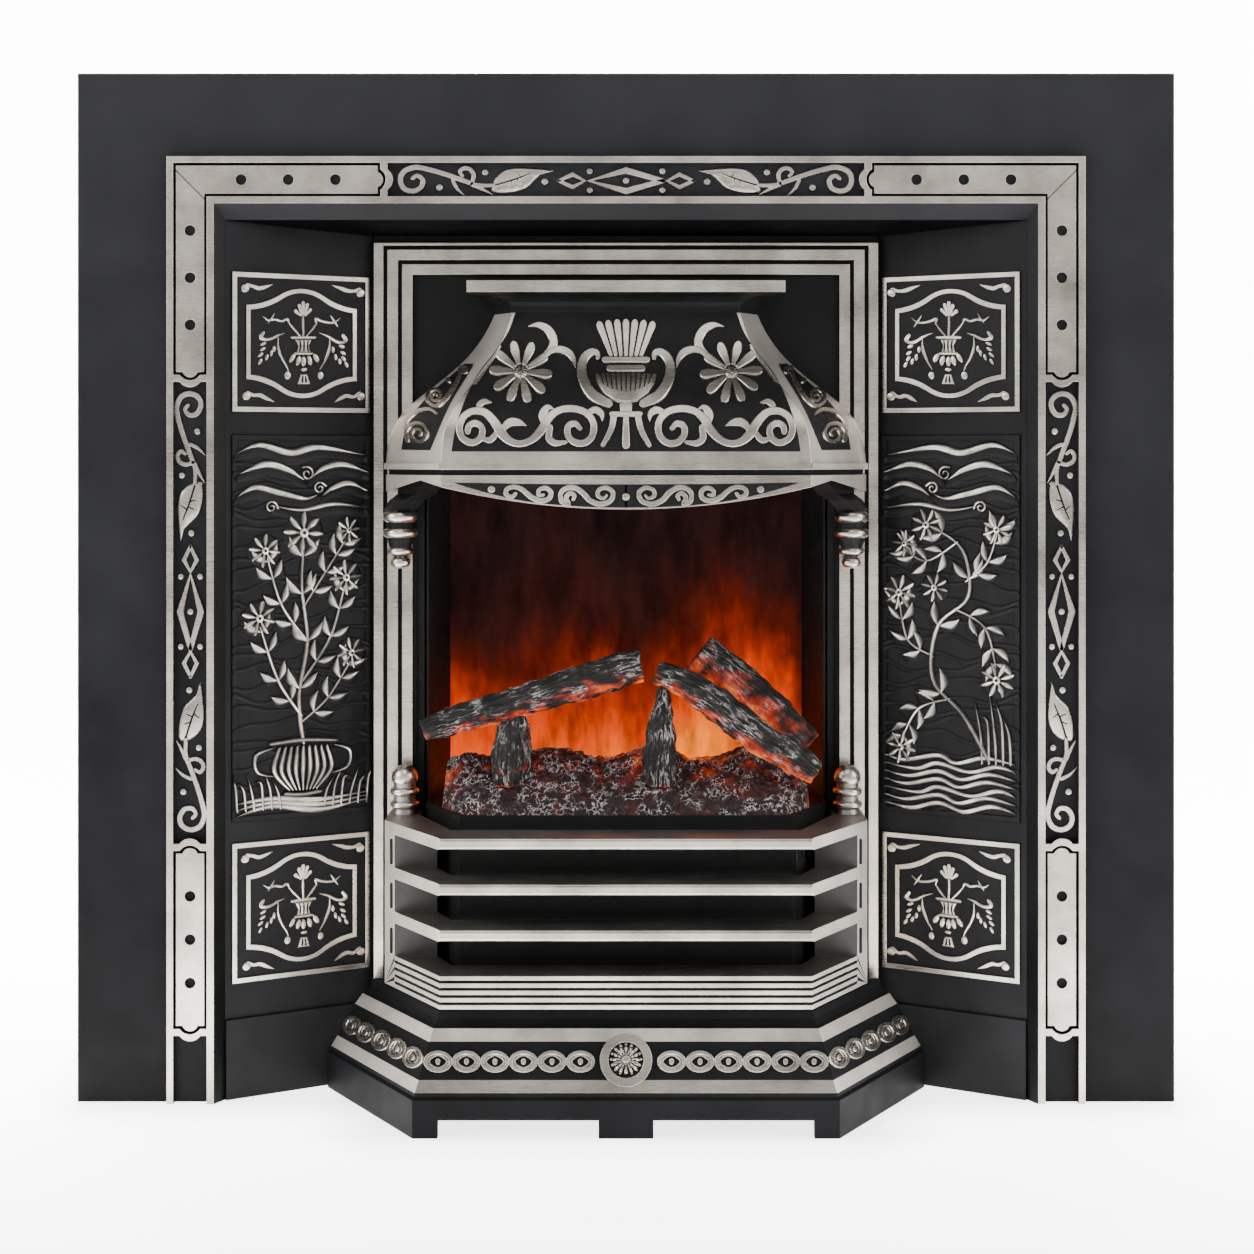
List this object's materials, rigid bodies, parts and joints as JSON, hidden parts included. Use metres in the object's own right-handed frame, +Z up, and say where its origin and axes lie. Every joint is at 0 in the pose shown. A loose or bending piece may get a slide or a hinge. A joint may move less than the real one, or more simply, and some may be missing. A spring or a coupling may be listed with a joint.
{
  "type": "fireplace insert",
  "caption": "Cast-iron fireplace insert with splayed relief tiles, a canopied hood, lift-off fire bars, an ash cover and an electric log-effect fire with blower.",
  "frame": {"origin": "on the hearth, in the middle of the width, in the plane of the front plate's face", "axes": "+X to the right seen from the room, +Y into the wall, +Z up"},
  "size_m": [1.016, 0.355, 0.952],
  "materials": {
    "black_iron": "satin black, lightly mottled",
    "polished_iron": "polished, brushed pewter grey",
    "relief_iron": "black ground with polished relief",
    "fastener_steel": "zinc-plated",
    "bracket_steel": "satin black",
    "black_sheet": "matt heat-resistant black",
    "zinc_sheet": "galvanised",
    "log_resin": "painted bark",
    "ember_resin": "translucent, lit from below",
    "flame_screen": "diffusing, lit from behind",
    "lamp_board": "solder mask with pale lamps",
    "vane_metal": "bright",
    "motor_case": "plain",
    "element_steel": "dulled by heat",
    "black_plastic": "satin"
  },
  "bodies": {
    "insert": {"arch_panel": "black_iron", "base_sheet": "black_sheet", "blower_motor": "motor_case", "cable_gland": "black_plastic", "chamber_lining": "black_sheet", "corbel_left": "polished_iron", "corbel_right": "polished_iron", "cover_screws": "fastener_steel", "ember_bed": "ember_resin", "ember_board": "lamp_board", "fire_apron": "black_sheet", "fire_housing": "black_sheet", "fixing_lugs": "bracket_steel", "flame_board": "lamp_board", "flame_motor": "motor_case", "flame_screen": "flame_screen", "frame_bolts": "fastener_steel", "front_frame": "black_iron", "fuel_tray": "black_sheet", "head_panel": "black_iron", "heater_case": "zinc_sheet", "heating_element": "element_steel", "hood": "black_iron", "hood_bolts": "fastener_steel", "log_left": "log_resin", "log_rear": "log_resin", "log_right": "log_resin", "log_stub_left": "log_resin", "log_stub_right": "log_resin", "lower_tile_left": "relief_iron", "lower_tile_right": "relief_iron", "lug_bolts": "fastener_steel", "outlet_grille": "black_sheet", "rear_cover": "zinc_sheet", "side_panel_left": "black_iron", "side_panel_right": "black_iron", "spindle_bearing": "bracket_steel", "switch_bezel": "black_plastic", "tall_tile_left": "relief_iron", "tall_tile_right": "relief_iron", "tile_clamp_left": "bracket_steel", "tile_clamp_right": "bracket_steel", "tile_nuts": "fastener_steel", "upper_tile_left": "relief_iron", "upper_tile_right": "relief_iron"},
    "fire_front": {"fire_bars": "black_iron", "finial_left": "polished_iron", "finial_right": "polished_iron"},
    "ash_front": {"ash_cover": "black_iron", "rosette": "polished_iron", "rosette_nut": "fastener_steel"},
    "flicker": {"flicker_spindle": "vane_metal"},
    "blower": {"blower_wheel": "vane_metal"},
    "flame_key": {"flame_rocker": "black_plastic"},
    "heat_key": {"heat_rocker": "black_plastic"}
  },
  "joints": [
    {"name": "bars_lift", "type": "slide", "parent": "insert", "child": "fire_front", "axis": [0, -0.6, 0.8], "range_m": [0, 0.2]},
    {"name": "ash_cover_draw", "type": "slide", "parent": "insert", "child": "ash_front", "axis": [0, -1, 0], "range_m": [0, 0.25]},
    {"name": "flicker_turn", "type": "hinge", "parent": "insert", "child": "flicker", "pos_m": [0, 0.19, 0.3], "axis": [1, 0, 0], "continuous": true},
    {"name": "blower_turn", "type": "hinge", "parent": "insert", "child": "blower", "pos_m": [0, 0.16, 0.616], "axis": [1, 0, 0], "continuous": true},
    {"name": "flame_switch", "type": "hinge", "parent": "insert", "child": "flame_key", "pos_m": [0.15662, -0.01082, 0.233], "axis": [-0.4291, -0.9033, 0], "range_deg": [0, 16]},
    {"name": "heat_switch", "type": "hinge", "parent": "insert", "child": "heat_key", "pos_m": [0.16391, 0.00454, 0.233], "axis": [-0.4291, -0.9033, 0], "range_deg": [0, 16]}
  ]
}
